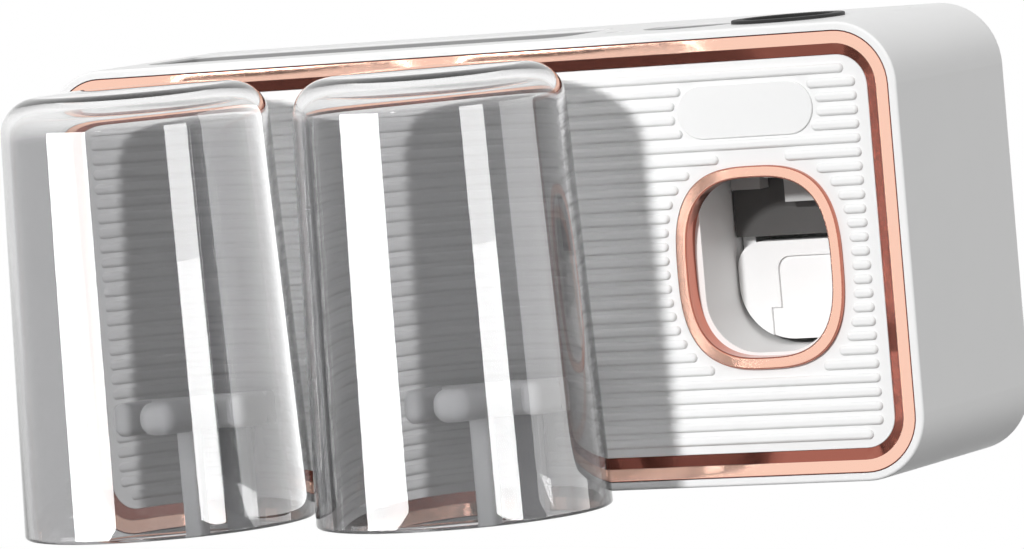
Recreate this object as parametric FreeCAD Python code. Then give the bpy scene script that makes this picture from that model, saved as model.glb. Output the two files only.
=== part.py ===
import FreeCAD, Part
import math
import os

V = FreeCAD.Vector

# Frame: origin in the wall plane behind the middle of the body.
# +X to the right as seen from the front, +Y into the wall, +Z up, millimetres.

# Body shell
BODY_W = 222.0
BODY_H = 105.0
BODY_D = 62.0
CORNER_R = 15.0
WALL = 1.9
FRONT_EDGE_R = 0.7
BACK_EDGE_R = 1.2
WALL_GAP = 0.5
BACK_T = 2.0
LEDGE_W = 2.4
LEDGE_T = 2.0
FIT_GAP = 0.1

# Trim ring and ribbed panel
RING_W = 5.6
RING_FLAT = 3.0
RING_T = 2.0
RING_EDGE_R = 0.3
PANEL_RECESS = 1.0
PANEL_T = 2.5
RIB_PITCH = 3.22
RIB_H = 2.2
RIB_RISE = 0.9
RIB_ROUND = 0.8
RIB_MARGIN = 2.75
RIB_TOP_MARGIN = 1.9
RIB_LEAST = 4.0
RIB_CORNER_LEAST = 0.5

# Oval brush opening and its bezel
DISP_IN = 37.9
OVAL_Z = -2.5
OVAL_W = 41.5
OVAL_H = 46.7
OVAL_POWER = 2.85
OVAL_POINTS = 24
BEZEL_W = 2.7
BEZEL_PROUD = 0.3
BEZEL_BARREL = 1.2
BEZEL_ROUND = 0.4
OVAL_BORDER = 2.2

# Bare label pad
PAD_LEFT = 0.6
PAD_LIFT = 0.675
PAD_W = 34.0
PAD_H = 12.3
PAD_RISE = 0.6
PAD_ROUND = 0.25
PAD_BORDER = 1.0

# Posts and screws that hold the panel to the back wall
POST_IN_X = 11.0
POST_IN_Z = 15.5
POST_R = 3.5
SCREW_R = 1.5
SCREW_HEAD_R = 2.8
SCREW_HEAD_T = 1.8
PANEL_SCREW_L = 14.0
SCREW_GAP = 0.05
CROSS_ARM = 0.6
CROSS_SLOT = 0.12

# Top tray with its wells
TRAY_IN = 15.0
TRAY_FRONT = 7.0
TRAY_BACK = 49.0
TRAY_R = 5.0
TRAY_SEAT_W = 2.0
TRAY_SEAT_T = 1.6
WELL_T = 1.2
PORT_DEPTH = 27.0
PORT_R = 12.0
SPARE_PITCH = 24.6
SPARE_R = 11.4
SPARE_DROP = 8.0
PICK_PITCH = 40.1
PICK_DEPTH = 20.0
PICK_R = 3.3
PICK_DROP = 8.0
STORE_IN = 5.0
STORE_PITCH = 11.0
STORE_FRONT = 12.0
STORE_BACK = 44.0
STORE_DROP = 7.0
STORE_R = 6.0

# Soft collar in the tube port
COLLAR_LIP = 1.2
COLLAR_LIP_T = 0.8
COLLAR_WALL = 1.5
COLLAR_L = 6.0
COLLAR_ROUND = 0.3

# Chamber behind the oval
CHAMBER_HALF = 16.2
CHAMBER_DROP = 19.9
CHAMBER_WALL = 2.0
CHAMBER_FLOOR_R = 13.0
CHAMBER_IN = 15.5
CHAMBER_BACK = 42.0
FLANGE_T = 2.1
FLANGE_SIDE = 4.6
FLANGE_OVER_PUMP = 8.85
FLANGE_SCREW_IN = 2.6
SMALL_SCREW_R = 1.0
SMALL_HEAD_R = 1.9
SMALL_HEAD_T = 1.2
SMALL_SCREW_BITE = 2.2

# Pump above the brush opening
PUMP_HALF = 9.0
PUMP_IN = 10.5
PUMP_H = 22.5
PUMP_AXIS = 8.5
PUMP_BACK = 29.0
BORE_R = 6.0
BORE_FRONT = 12.0
DUCT_R = 2.0
DUCT_IN = 4.0
INLET_DEPTH = 15.0
NOZZLE_DEPTH = 13.2
NOZZLE_R = 4.0
NOZZLE_L = 2.3
NOZZLE_TIP_R = 2.8
NOZZLE_HOLE_R = 1.6
LUG_FRONT = 17.5
LUG_BACK = 22.2
LUG_A_LEFT = -13.7
LUG_A_RIGHT = -6.3
LUG_A_DROP = 5.2
LUG_B_LEFT = -0.2
LUG_B_RIGHT = 10.9
LUG_B_DROP = 8.5
LUG_ROOT = 3.2
PUMP_SCREW_X = 6.0
PUMP_SCREW_BITE = 5.0

# Piston and its seal
PISTON_FRONT = 20.0
PISTON_L = 7.0
PISTON_GAP = 0.05
ROD_R = 2.5
ROD_END = 33.6
SEAL_W = 1.6
SEAL_T = 1.0
SEAL_GAP = 0.03

# Soft parts of the tube seat
ADAPTER_R = 9.0
ADAPTER_WALL = 2.5
ADAPTER_L = 7.5
VALVE_R = 4.5
VALVE_T = 1.0
INLET_R = 3.0

# Splash guard above the lever
GUARD_DEPTH = 22.5
GUARD_T = 1.5
GUARD_OVER_LEVER = 1.2
GUARD_GAP = 0.5

# Push lever
LEVER_DEPTH = 22.0
LEVER_T = 4.0
LEVER_OVER_OVAL = 4.3
LEVER_BOTTOM_GAP = 1.3
LEVER_SIDE_GAP = 0.5
LEVER_CORNER_R = 6.0
LEVER_ARM_T = 3.2
LEVER_ARM_DROP = 13.8
LEVER_ARM_W = 5.0
LEVER_BOSS_R = 4.4
PIVOT_DEPTH = 29.0
PIVOT_UNDER_PUMP = 7.5
PIN_R = 1.5
PIN_GAP = 0.05
CRANK_R = 2.0
CRANK_GAP = 0.3
TOUCH_PAD_SINK = 0.8
TOUCH_PAD_LEFT = -5.6
TOUCH_PAD_IN = 3.6
TOUCH_PAD_STEP_DROP = 15.4
TOUCH_PAD_NOTCH = 2.5
TOUCH_PAD_R = 3.0

# Return spring behind the lever
SPRING_DROP = 5.5
SPRING_R = 4.0
SPRING_WIRE_R = 0.45
SPRING_TURNS = 5
SPRING_GAP = 0.15
SPRING_SEAT_R = 2.6
SPRING_SEAT_L = 2.0

# Cups, hung upside down
CUP_LEFT_MARGIN = 12.0
CUP_RIGHT_MARGIN = 6.45
CUP_SPACE = 8.9
CUP_STANDOFF = 4.0
CUP_RIM_DROP = 0.1
CUP_H = 102.0
CUP_TAPER = 3.0
CUP_WALL = 2.0
CUP_BASE = 2.4
CUP_SHOULDER_R = 8.7
CUP_INNER_R = 6.6
CUP_LIP_R = 0.8

# Cup hooks with brush slots
HOOK_W = 7.8
HOOK_T = 3.0
HOOK_CUP_GAP = 0.6
HOOK_LEG_IN = 14.1
HOOK_LEG_ROUND = 1.2
HOOK_LEG_W = 5.2
HOOK_LEG_T = 4.0
HOOK_BOSS_OVER_PEG = 7.5
HOOK_SHOULDER_R = 4.4
HOOK_BOSS_R = 3.0
HOOK_PEG_IN = 14.0
HOOK_PEG_R = 1.5
FINGER_W = 9.2
FINGER_H = 7.6
FINGER_OVER_RIM = 30.9
FINGER_L = 33.9
FINGER_BACK_GAP = 0.6
ROUND_SHARE = 0.45
END_SHARE = 0.75
SLOT_W = 8.0
PRONG_W = 5.0
PRONG_L = 16.8
PRONG_BAR_T = 5.0
PRONG_BAR_ROUND = 1.8
HOOK_SCREW_BITE = 6.0
HOOK_SCREW_HEAD_R = 4.2

# Wall plate and adhesive pad
PAD_SHEET_T = 1.0
PAD_SHEET_IN = 66.0
PAD_SHEET_H = 52.0
PAD_SHEET_R = 4.0
PLATE_IN = 36.0
PLATE_H = 62.0
PLATE_T = 2.6
PLATE_R = 6.0
PLATE_GAP = 0.4
PLATE_HOLE_R = 2.2
PLATE_HOLE_IN = 20.0
PLATE_HOLE_Z = 40.0
CLIP_IN = 30.0
CLIP_Z = 14.0
CLIP_W = 12.0
CLIP_STEM = 4.0
CLIP_LIP = 6.0
CLIP_LIP_T = 2.2
CLIP_GAP = 0.4
LIFT = 7.0

# Places worked out from the sizes above
FRONT_Y = -(WALL_GAP + BODY_D)
TOP_Z = BODY_H / 2
PANEL_FRONT = RING_T
PANEL_BACK = RING_T + PANEL_T
BACK_OUT_Y = -(PAD_SHEET_T + PLATE_T + PLATE_GAP)
BACK_IN_Y = BACK_OUT_Y - BACK_T
FLANGE_BACK = PANEL_BACK + FLANGE_T
CHAMBER_FLOOR = OVAL_Z - CHAMBER_DROP
CHAMBER_TOP = TOP_Z - CHAMBER_IN
RIB_ROOM = BODY_H - 2 * (WALL + RING_W + RIB_TOP_MARGIN) - RIB_H
RIB_ROWS = int(RIB_ROOM / RIB_PITCH) + 1
DISP_X = BODY_W / 2 - DISP_IN
PAD_X = DISP_X - PAD_LEFT
PAD_Z = (OVAL_Z + OVAL_H / 2 + TOP_Z - WALL - RING_W) / 2 + PAD_LIFT
POST_X = BODY_W / 2 - POST_IN_X
POST_Z = BODY_H / 2 - POST_IN_Z
TRAY_W = BODY_W - 2 * TRAY_IN
PICK_X = DISP_X - PICK_PITCH
STORE_LEFT = STORE_IN - TRAY_W / 2
STORE_RIGHT = PICK_X - STORE_PITCH
PUMP_TOP = TOP_Z - PUMP_IN
PUMP_BOTTOM = PUMP_TOP - PUMP_H
PUMP_Z = PUMP_BOTTOM + PUMP_AXIS
DUCT_Z = PUMP_TOP - DUCT_IN
LEVER_TOP = OVAL_Z + LEVER_OVER_OVAL
LEVER_ARM_LOW = LEVER_TOP - LEVER_ARM_DROP
GUARD_BOTTOM = LEVER_TOP + GUARD_OVER_LEVER
PIVOT_Z = PUMP_BOTTOM - PIVOT_UNDER_PUMP
TOUCH_PAD_TOP = LEVER_TOP - TOUCH_PAD_IN
TOUCH_PAD_STEP = LEVER_TOP - TOUCH_PAD_STEP_DROP
SPRING_Z = OVAL_Z - SPRING_DROP
CUP_ROOM = BODY_W / 2 + DISP_X - OVAL_W / 2 - CUP_LEFT_MARGIN - CUP_RIGHT_MARGIN
CUP_RIM_R = (CUP_ROOM - CUP_SPACE) / 4
CUP_TOP_R = CUP_RIM_R - CUP_TAPER
CUP_REACH = CUP_RIM_R + CUP_STANDOFF
CUP_RIM_Z = -BODY_H / 2 - CUP_RIM_DROP
CUP_LEFT_X = CUP_LEFT_MARGIN + CUP_RIM_R - BODY_W / 2
CUP_XS = {"left": CUP_LEFT_X, "right": CUP_LEFT_X + 2 * CUP_RIM_R + CUP_SPACE}
HOOK_PEG_Z = HOOK_PEG_IN - BODY_H / 2
HOOK_BOSS_Z = HOOK_PEG_Z + HOOK_BOSS_OVER_PEG
FINGER_TOP = CUP_RIM_Z + FINGER_OVER_RIM
PLATE_W = BODY_W - 2 * PLATE_IN
PLATE_HOLE_X = PLATE_W - 2 * PLATE_HOLE_IN
PAD_SHEET_W = BODY_W - 2 * PAD_SHEET_IN
CLIP_X = PLATE_W / 2 - CLIP_IN
CUT = 1.0
NEAR = 1e-5
FULL_ROUND = 0.499


def at(depth):
    """Y of a point at a depth behind the front rim."""
    return FRONT_Y + depth


def rounded_outline(w, h, r, y, cx=0.0, cz=0.0):
    """Rounded rectangle in a plane of constant Y, as lines and quarter arcs."""
    hw = w / 2
    hh = h / 2
    edges = []
    corners = ((1, 1, 0), (-1, 1, 90), (-1, -1, 180), (1, -1, 270))
    starts = []
    for sx, sz, turn in corners:
        centre = V(cx + sx * (hw - r), y, cz + sz * (hh - r))
        ends = []
        for step in (0, 45, 90):
            angle = math.radians(turn + step)
            ends.append(centre + V(r * math.cos(angle), 0, r * math.sin(angle)))
        starts.append(ends)
    for i, ends in enumerate(starts):
        edges.append(Part.Arc(*ends).toShape())
        following = starts[(i + 1) % len(starts)][0]
        if (following - ends[2]).Length > NEAR:
            edges.append(Part.LineSegment(ends[2], following).toShape())
    return Part.Wire(edges)


def slab(wire, thickness):
    """Solid made by pushing a flat outline towards the wall."""
    return Part.Face(wire).extrude(V(0, thickness, 0))


def plate(w, h, r, y0, y1, cx=0.0, cz=0.0):
    return slab(rounded_outline(w, h, r, y0, cx, cz), y1 - y0)


def box(x0, x1, y0, y1, z0, z1):
    return Part.makeBox(x1 - x0, y1 - y0, z1 - z0, V(x0, y0, z0))


def rod_y(x, z, r, y0, y1):
    return Part.makeCylinder(r, y1 - y0, V(x, y0, z), V(0, 1, 0))


def rod_z(x, y, r, z0, z1):
    return Part.makeCylinder(r, z1 - z0, V(x, y, z0), V(0, 0, 1))


def rod_x(y, z, r, x0, x1):
    return Part.makeCylinder(r, x1 - x0, V(x0, y, z), V(1, 0, 0))


def oval_outline(w, h, y):
    """Full oval between an ellipse and a rectangle, round the brush opening."""
    points = []
    for i in range(OVAL_POINTS):
        angle = 2 * math.pi * i / OVAL_POINTS
        c = math.cos(angle)
        s = math.sin(angle)
        x = w / 2 * math.copysign(abs(c) ** (2 / OVAL_POWER), c)
        z = h / 2 * math.copysign(abs(s) ** (2 / OVAL_POWER), s)
        points.append(V(DISP_X + x, y, OVAL_Z + z))
    curve = Part.BSplineCurve()
    curve.interpolate(Points=points, PeriodicFlag=True)
    return Part.Wire([curve.toShape()])


def oval(w, h, y0, y1):
    return slab(oval_outline(w, h, y0), y1 - y0)


def oval_half_width(w, h, dz):
    """Half width of an oval at a height dz off its middle, zero outside it."""
    share = abs(dz) / (h / 2)
    if share >= 1:
        return 0.0
    return w / 2 * (1 - share ** OVAL_POWER) ** (1 / OVAL_POWER)


def edges_at_y(shape, y):
    """Edges that lie wholly in one plane of constant Y."""
    found = []
    for edge in shape.Edges:
        if abs(edge.BoundBox.YMin - y) < NEAR and abs(edge.BoundBox.YMax - y) < NEAR:
            found.append(edge)
    return found


def edges_at_z(shape, z):
    """Edges that lie wholly in one plane of constant Z."""
    found = []
    for edge in shape.Edges:
        if abs(edge.BoundBox.ZMin - z) < NEAR and abs(edge.BoundBox.ZMax - z) < NEAR:
            found.append(edge)
    return found


def four(x, z):
    """Four mirrored places about the middle of the body."""
    return [(sx * x, sz * z) for sx in (-1, 1) for sz in (-1, 1)]


def inset_plate(inset, y0, y1):
    """Slab of the body's outline, drawn in evenly all round."""
    return plate(BODY_W - 2 * inset, BODY_H - 2 * inset, CORNER_R - inset, y0, y1)


def tray_plate(grow, z0, z1):
    """Slab of the tray's outline, seen from above."""
    w = TRAY_W + 2 * grow
    d = TRAY_BACK - TRAY_FRONT + 2 * grow
    solid = Part.makeBox(w, d, z1 - z0, V(-w / 2, at(TRAY_FRONT) - grow, z0))
    return round_upright(solid, TRAY_R + grow)


def round_upright(solid, r):
    """Round the upright edges of a block."""
    upright = [e for e in solid.Edges if e.BoundBox.ZLength > NEAR]
    return solid.makeFillet(r, upright)


def store_block(grow, z0, z1):
    """Block of the storage recess in the tray."""
    solid = box(STORE_LEFT - grow, STORE_RIGHT + grow, at(STORE_FRONT) - grow,
                at(STORE_BACK) + grow, z0, z1)
    return round_upright(solid, STORE_R + grow)


def make_rear_housing():
    shell = inset_plate(0, FRONT_Y, -WALL_GAP)
    shell = shell.makeFillet(FRONT_EDGE_R, edges_at_y(shell, FRONT_Y))
    shell = shell.makeFillet(BACK_EDGE_R, edges_at_y(shell, -WALL_GAP))
    shell = shell.cut(inset_plate(WALL, FRONT_Y - CUT, BACK_IN_Y))
    shell = shell.cut(inset_plate(WALL, BACK_OUT_Y, CUT))
    ledge = inset_plate(WALL - CUT / 2, at(PANEL_BACK), at(PANEL_BACK + LEDGE_T))
    ledge = ledge.cut(inset_plate(WALL + LEDGE_W, at(PANEL_BACK) - CUT, at(PANEL_BACK + LEDGE_T) + CUT))
    shell = shell.fuse(ledge)
    seat = tray_plate(FIT_GAP + TRAY_SEAT_W, TOP_Z - WALL - TRAY_SEAT_T, TOP_Z - WALL / 2)
    shell = shell.fuse(seat)
    shell = shell.cut(tray_plate(FIT_GAP, TOP_Z - WALL, TOP_Z + CUT))
    shell = shell.cut(tray_plate(-TRAY_SEAT_W, TOP_Z - WALL - TRAY_SEAT_T - CUT, TOP_Z))
    for x, z in four(POST_X, POST_Z):
        shell = shell.cut(rod_y(x, z, SCREW_R + SCREW_GAP, BACK_IN_Y - CUT, BACK_OUT_Y + CUT))
    slot_low = CLIP_STEM + LIFT + CLIP_GAP
    for x, z in four(CLIP_X, CLIP_Z):
        shell = shell.cut(box(x - CLIP_W / 2 - CLIP_GAP, x + CLIP_W / 2 + CLIP_GAP,
                              BACK_IN_Y - CUT, BACK_OUT_Y + CUT, z - slot_low, z))
    return shell.removeSplitter()


def make_trim_ring():
    ring = inset_plate(WALL + FIT_GAP, FRONT_Y, at(RING_T))
    inner = WALL + RING_W
    top = rounded_outline(BODY_W - 2 * (WALL + RING_FLAT), BODY_H - 2 * (WALL + RING_FLAT),
                          CORNER_R - WALL - RING_FLAT, FRONT_Y)
    low = rounded_outline(BODY_W - 2 * inner, BODY_H - 2 * inner, CORNER_R - inner, at(PANEL_RECESS))
    ring = ring.cut(Part.makeLoft([top, low], True, True))
    ring = ring.cut(inset_plate(inner, FRONT_Y - CUT, at(RING_T) + CUT))
    return ring.makeFillet(RING_EDGE_R, edges_at_y(ring, FRONT_Y))


def rib_reach(z):
    """Half length of a rib row that stays inside the panel's rounded border."""
    inset = WALL + RING_W + RIB_MARGIN
    hw = BODY_W / 2 - inset
    hh = BODY_H / 2 - inset
    r = max(CORNER_R - inset, RIB_CORNER_LEAST)
    rise = abs(z) - (hh - r)
    if rise <= 0:
        return hw
    return hw - r + math.sqrt(max(r * r - rise * rise, 0))


def rib_breaks(z):
    """Stretches of a rib row that stay clear of the bezel, the label pad and the hooks."""
    breaks = []
    half = oval_half_width(OVAL_W + 2 * OVAL_BORDER, OVAL_H + 2 * OVAL_BORDER, z - OVAL_Z)
    if half > 0:
        breaks.append((DISP_X - half, DISP_X + half))
    pad_r = PAD_H / 2 + PAD_BORDER
    lift = abs(z - PAD_Z)
    if lift < pad_r:
        half = PAD_W / 2 - PAD_H / 2 + math.sqrt(pad_r * pad_r - lift * lift)
        breaks.append((PAD_X - half, PAD_X + half))
    for x in CUP_XS.values():
        for boss_z, r in ((HOOK_BOSS_Z, HOOK_SHOULDER_R), (HOOK_PEG_Z, HOOK_PEG_R)):
            if abs(z - boss_z) < r + RIB_H:
                breaks.append((x - r - RIB_H, x + r + RIB_H))
    return sorted(breaks)


def make_rib(x0, x1, z):
    rib = plate(x1 - x0, RIB_H, RIB_H * FULL_ROUND, at(PANEL_RECESS - RIB_RISE), at(PANEL_RECESS),
                (x0 + x1) / 2, z)
    return rib.makeFillet(RIB_ROUND, edges_at_y(rib, at(PANEL_RECESS - RIB_RISE)))


def make_ribs():
    ribs = []
    for row in range(RIB_ROWS):
        z = ((RIB_ROWS - 1) / 2 - row) * RIB_PITCH
        reach = rib_reach(z)
        start = -reach
        for low, high in rib_breaks(z) + [(reach, reach)]:
            if low - start > RIB_LEAST:
                ribs.append(make_rib(start, low, z))
            start = max(start, high)
    return ribs


def make_front_panel():
    panel = inset_plate(WALL + FIT_GAP, at(PANEL_FRONT), at(PANEL_BACK))
    panel = panel.fuse(inset_plate(WALL + RING_W + FIT_GAP, at(PANEL_RECESS), at(PANEL_FRONT)))
    for x, z in four(POST_X, POST_Z):
        panel = panel.fuse(rod_y(x, z, POST_R, at(PANEL_BACK), BACK_IN_Y))
        panel = panel.cut(rod_y(x, z, SCREW_R + SCREW_GAP, BACK_IN_Y - PANEL_SCREW_L, BACK_IN_Y + CUT))
    barrel = BEZEL_W - BEZEL_BARREL - FIT_GAP
    panel = panel.cut(oval(OVAL_W - 2 * barrel, OVAL_H - 2 * barrel, at(0), at(PANEL_BACK) + CUT))
    for x in CUP_XS.values():
        for z, r in ((HOOK_BOSS_Z, HOOK_BOSS_R), (HOOK_PEG_Z, HOOK_PEG_R)):
            panel = panel.cut(rod_y(x, z, r + SCREW_GAP, at(0), at(PANEL_BACK) + CUT))
    for x, z in flange_screw_places():
        panel = panel.cut(rod_y(x, z, SMALL_SCREW_R + SCREW_GAP, at(PANEL_BACK - SMALL_SCREW_BITE),
                                at(PANEL_BACK) + CUT))
    return panel.multiFuse(make_ribs()).removeSplitter()


def make_oval_bezel():
    flange = oval(OVAL_W, OVAL_H, at(-BEZEL_PROUD), at(PANEL_RECESS))
    barrel_in = BEZEL_W - BEZEL_BARREL
    barrel = oval(OVAL_W - 2 * barrel_in, OVAL_H - 2 * barrel_in, at(PANEL_RECESS), at(PANEL_BACK))
    bezel = flange.fuse(barrel)
    bezel = bezel.cut(oval(OVAL_W - 2 * BEZEL_W, OVAL_H - 2 * BEZEL_W, at(-BEZEL_PROUD) - CUT,
                           at(PANEL_BACK) + CUT))
    return bezel.makeFillet(BEZEL_ROUND, edges_at_y(bezel, at(-BEZEL_PROUD)))


def make_label_pad():
    pad = plate(PAD_W, PAD_H, PAD_H * FULL_ROUND, at(PANEL_RECESS - PAD_RISE), at(PANEL_RECESS), PAD_X, PAD_Z)
    return pad.makeFillet(PAD_ROUND, edges_at_y(pad, at(PANEL_RECESS - PAD_RISE)))


def make_top_tray():
    floor = TOP_Z - WALL
    spare_x = DISP_X - SPARE_PITCH
    tray = tray_plate(0, floor, TOP_Z)
    tray = tray.fuse(store_block(WELL_T, TOP_Z - STORE_DROP - WELL_T, floor))
    tray = tray.fuse(rod_z(spare_x, at(PORT_DEPTH), SPARE_R + WELL_T, TOP_Z - SPARE_DROP - WELL_T, floor))
    tray = tray.fuse(rod_z(PICK_X, at(PICK_DEPTH), PICK_R + WELL_T, TOP_Z - PICK_DROP - WELL_T, floor))
    tray = tray.cut(store_block(0, TOP_Z - STORE_DROP, TOP_Z + CUT))
    tray = tray.cut(rod_z(spare_x, at(PORT_DEPTH), SPARE_R, TOP_Z - SPARE_DROP, TOP_Z + CUT))
    tray = tray.cut(rod_z(PICK_X, at(PICK_DEPTH), PICK_R, TOP_Z - PICK_DROP, TOP_Z + CUT))
    tray = tray.cut(rod_z(DISP_X, at(PORT_DEPTH), PORT_R, floor - CUT, TOP_Z + CUT))
    return tray.removeSplitter()


def make_port_collar():
    y = at(PORT_DEPTH)
    outer = PORT_R - FIT_GAP
    collar = rod_z(DISP_X, y, outer, TOP_Z - COLLAR_L, TOP_Z)
    collar = collar.fuse(rod_z(DISP_X, y, PORT_R + COLLAR_LIP, TOP_Z, TOP_Z + COLLAR_LIP_T))
    collar = collar.cut(rod_z(DISP_X, y, outer - COLLAR_WALL, TOP_Z - COLLAR_L - CUT,
                              TOP_Z + COLLAR_LIP_T + CUT))
    return collar.makeFillet(COLLAR_ROUND, edges_at_z(collar, TOP_Z + COLLAR_LIP_T))


def chamber_block(grow, y0, y1, z_top):
    """Block of the chamber's U shape, with its lower edges rounded."""
    return u_block(CHAMBER_HALF + grow, CHAMBER_FLOOR - grow, CHAMBER_FLOOR_R + grow, y0, y1, z_top)


def u_block(half, low, r, y0, y1, z_top):
    """Upright block about the dispenser's middle, rounded along its two lower edges."""
    solid = box(DISP_X - half, DISP_X + half, y0, y1, low, z_top)
    corners = [e for e in edges_at_z(solid, low) if e.BoundBox.YLength > NEAR]
    return solid.makeFillet(r, corners)


def flange_top():
    return PUMP_BOTTOM + FLANGE_OVER_PUMP


def flange_low():
    return CHAMBER_FLOOR - CHAMBER_WALL - FLANGE_SIDE


def flange_half():
    return CHAMBER_HALF + CHAMBER_WALL + FLANGE_SIDE


def flange_screw_places():
    x = flange_half() - FLANGE_SCREW_IN
    high = flange_top() - FLANGE_SCREW_IN
    low = flange_low() + FLANGE_SCREW_IN
    return [(DISP_X + sx * x, z) for sx in (-1, 1) for z in (low, high)]


def pump_screw_places():
    z = (PUMP_BOTTOM + flange_top()) / 2
    return [(DISP_X - PUMP_SCREW_X, z), (DISP_X + PUMP_SCREW_X, z)]


def make_dispenser_chamber():
    back = CHAMBER_BACK + CHAMBER_WALL
    chamber = chamber_block(CHAMBER_WALL, at(FLANGE_BACK), at(back), CHAMBER_TOP)
    half = flange_half()
    chamber = chamber.fuse(box(DISP_X - half, DISP_X + half, at(PANEL_BACK), at(FLANGE_BACK),
                               flange_low(), flange_top()))
    chamber = chamber.cut(chamber_block(0, at(FLANGE_BACK), at(CHAMBER_BACK), CHAMBER_TOP + CUT))
    chamber = chamber.cut(chamber_block(0, at(PANEL_BACK) - CUT, at(FLANGE_BACK), PUMP_BOTTOM))
    seat = rod_y(DISP_X, SPRING_Z, SPRING_SEAT_R, at(CHAMBER_BACK - SPRING_SEAT_L), at(CHAMBER_BACK))
    chamber = chamber.fuse(seat)
    for side in (-1, 1):
        x = DISP_X + side * (CHAMBER_HALF + CHAMBER_WALL / 2)
        chamber = chamber.cut(rod_x(at(PIVOT_DEPTH), PIVOT_Z, PIN_R + PIN_GAP / 2, x - CHAMBER_WALL,
                                    x + CHAMBER_WALL))
    for x, z in flange_screw_places():
        chamber = chamber.cut(rod_y(x, z, SMALL_SCREW_R + SCREW_GAP, at(PANEL_BACK) - CUT,
                                    at(FLANGE_BACK) + CUT))
    for x, z in pump_screw_places():
        chamber = chamber.cut(rod_y(x, z, SMALL_SCREW_R + SCREW_GAP, at(PANEL_BACK) - CUT,
                                    at(FLANGE_BACK) + CUT))
        chamber = chamber.cut(rod_y(x, z, SMALL_HEAD_R + SCREW_GAP, at(PANEL_BACK) - CUT,
                                    at(PANEL_BACK + SMALL_HEAD_T)))
    return chamber.removeSplitter()


def make_pump_body():
    block = box(DISP_X - PUMP_HALF, DISP_X + PUMP_HALF, at(FLANGE_BACK), at(PUMP_BACK), PUMP_BOTTOM, PUMP_TOP)
    lugs = ((LUG_A_LEFT, LUG_A_RIGHT, LUG_A_DROP), (LUG_B_LEFT, LUG_B_RIGHT, LUG_B_DROP))
    for left, right, drop in lugs:
        block = block.fuse(box(DISP_X + left, DISP_X + right, at(LUG_FRONT), at(LUG_BACK),
                               PUMP_BOTTOM - drop, PUMP_BOTTOM + LUG_ROOT))
    block = block.cut(rod_y(DISP_X, PUMP_Z, BORE_R, at(BORE_FRONT), at(PUMP_BACK) + CUT))
    block = block.cut(rod_z(DISP_X, at(NOZZLE_DEPTH), NOZZLE_HOLE_R, PUMP_BOTTOM - CUT, PUMP_Z))
    block = block.cut(rod_z(DISP_X, at(INLET_DEPTH), DUCT_R, PUMP_Z, DUCT_Z))
    block = block.cut(rod_y(DISP_X, DUCT_Z, DUCT_R, at(INLET_DEPTH) - DUCT_R, at(PORT_DEPTH)))
    block = block.cut(rod_z(DISP_X, at(PORT_DEPTH), DUCT_R, DUCT_Z, PUMP_TOP + CUT))
    block = block.cut(rod_z(DISP_X, at(PORT_DEPTH), VALVE_R + FIT_GAP, PUMP_TOP - VALVE_T, PUMP_TOP + CUT))
    for x, z in pump_screw_places():
        block = block.cut(rod_y(x, z, SMALL_SCREW_R + SCREW_GAP, at(FLANGE_BACK) - CUT,
                                at(FLANGE_BACK + PUMP_SCREW_BITE)))
    return block.removeSplitter()


def make_nozzle():
    y = at(NOZZLE_DEPTH)
    nozzle = Part.makeCone(NOZZLE_R, NOZZLE_TIP_R, NOZZLE_L, V(DISP_X, y, PUMP_BOTTOM), V(0, 0, -1))
    return nozzle.cut(rod_z(DISP_X, y, NOZZLE_HOLE_R, PUMP_BOTTOM - NOZZLE_L - CUT, PUMP_BOTTOM + CUT))


def make_tube_adapter():
    y = at(PORT_DEPTH)
    sleeve = rod_z(DISP_X, y, ADAPTER_R, PUMP_TOP, PUMP_TOP + ADAPTER_L)
    sleeve = sleeve.cut(rod_z(DISP_X, y, ADAPTER_R - ADAPTER_WALL, PUMP_TOP + VALVE_T,
                              PUMP_TOP + ADAPTER_L + CUT))
    return sleeve.cut(rod_z(DISP_X, y, INLET_R, PUMP_TOP - CUT, PUMP_TOP + VALVE_T + CUT))


def make_inlet_valve():
    y = at(PORT_DEPTH)
    disc = rod_z(DISP_X, y, VALVE_R, PUMP_TOP - VALVE_T, PUMP_TOP)
    flap = rod_z(DISP_X, y, INLET_R, PUMP_TOP - VALVE_T - CUT, PUMP_TOP + CUT)
    flap = flap.cut(rod_z(DISP_X, y, INLET_R - VALVE_T / 2, PUMP_TOP - VALVE_T - CUT, PUMP_TOP + CUT))
    hinge = box(DISP_X - VALVE_T, DISP_X + VALVE_T, y, y + VALVE_R, PUMP_TOP - VALVE_T - CUT, PUMP_TOP + CUT)
    return disc.cut(flap.cut(hinge))


def make_piston():
    y0 = at(PISTON_FRONT)
    piston = rod_y(DISP_X, PUMP_Z, BORE_R - PISTON_GAP, y0, y0 + PISTON_L)
    piston = piston.fuse(rod_y(DISP_X, PUMP_Z, ROD_R, y0 + PISTON_L, at(ROD_END)))
    return piston.cut(make_seal_ring(BORE_R + CUT))


def make_seal_ring(outer):
    middle = at(PISTON_FRONT) + PISTON_L / 2
    ring = rod_y(DISP_X, PUMP_Z, outer, middle - SEAL_W / 2, middle + SEAL_W / 2)
    return ring.cut(rod_y(DISP_X, PUMP_Z, BORE_R - SEAL_T, middle - SEAL_W, middle + SEAL_W))


def make_piston_seal():
    return make_seal_ring(BORE_R - SEAL_GAP)


def make_splash_guard():
    half = CHAMBER_HALF - GUARD_GAP
    return box(DISP_X - half, DISP_X + half, at(GUARD_DEPTH), at(GUARD_DEPTH + GUARD_T), GUARD_BOTTOM,
               PUMP_BOTTOM)


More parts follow.
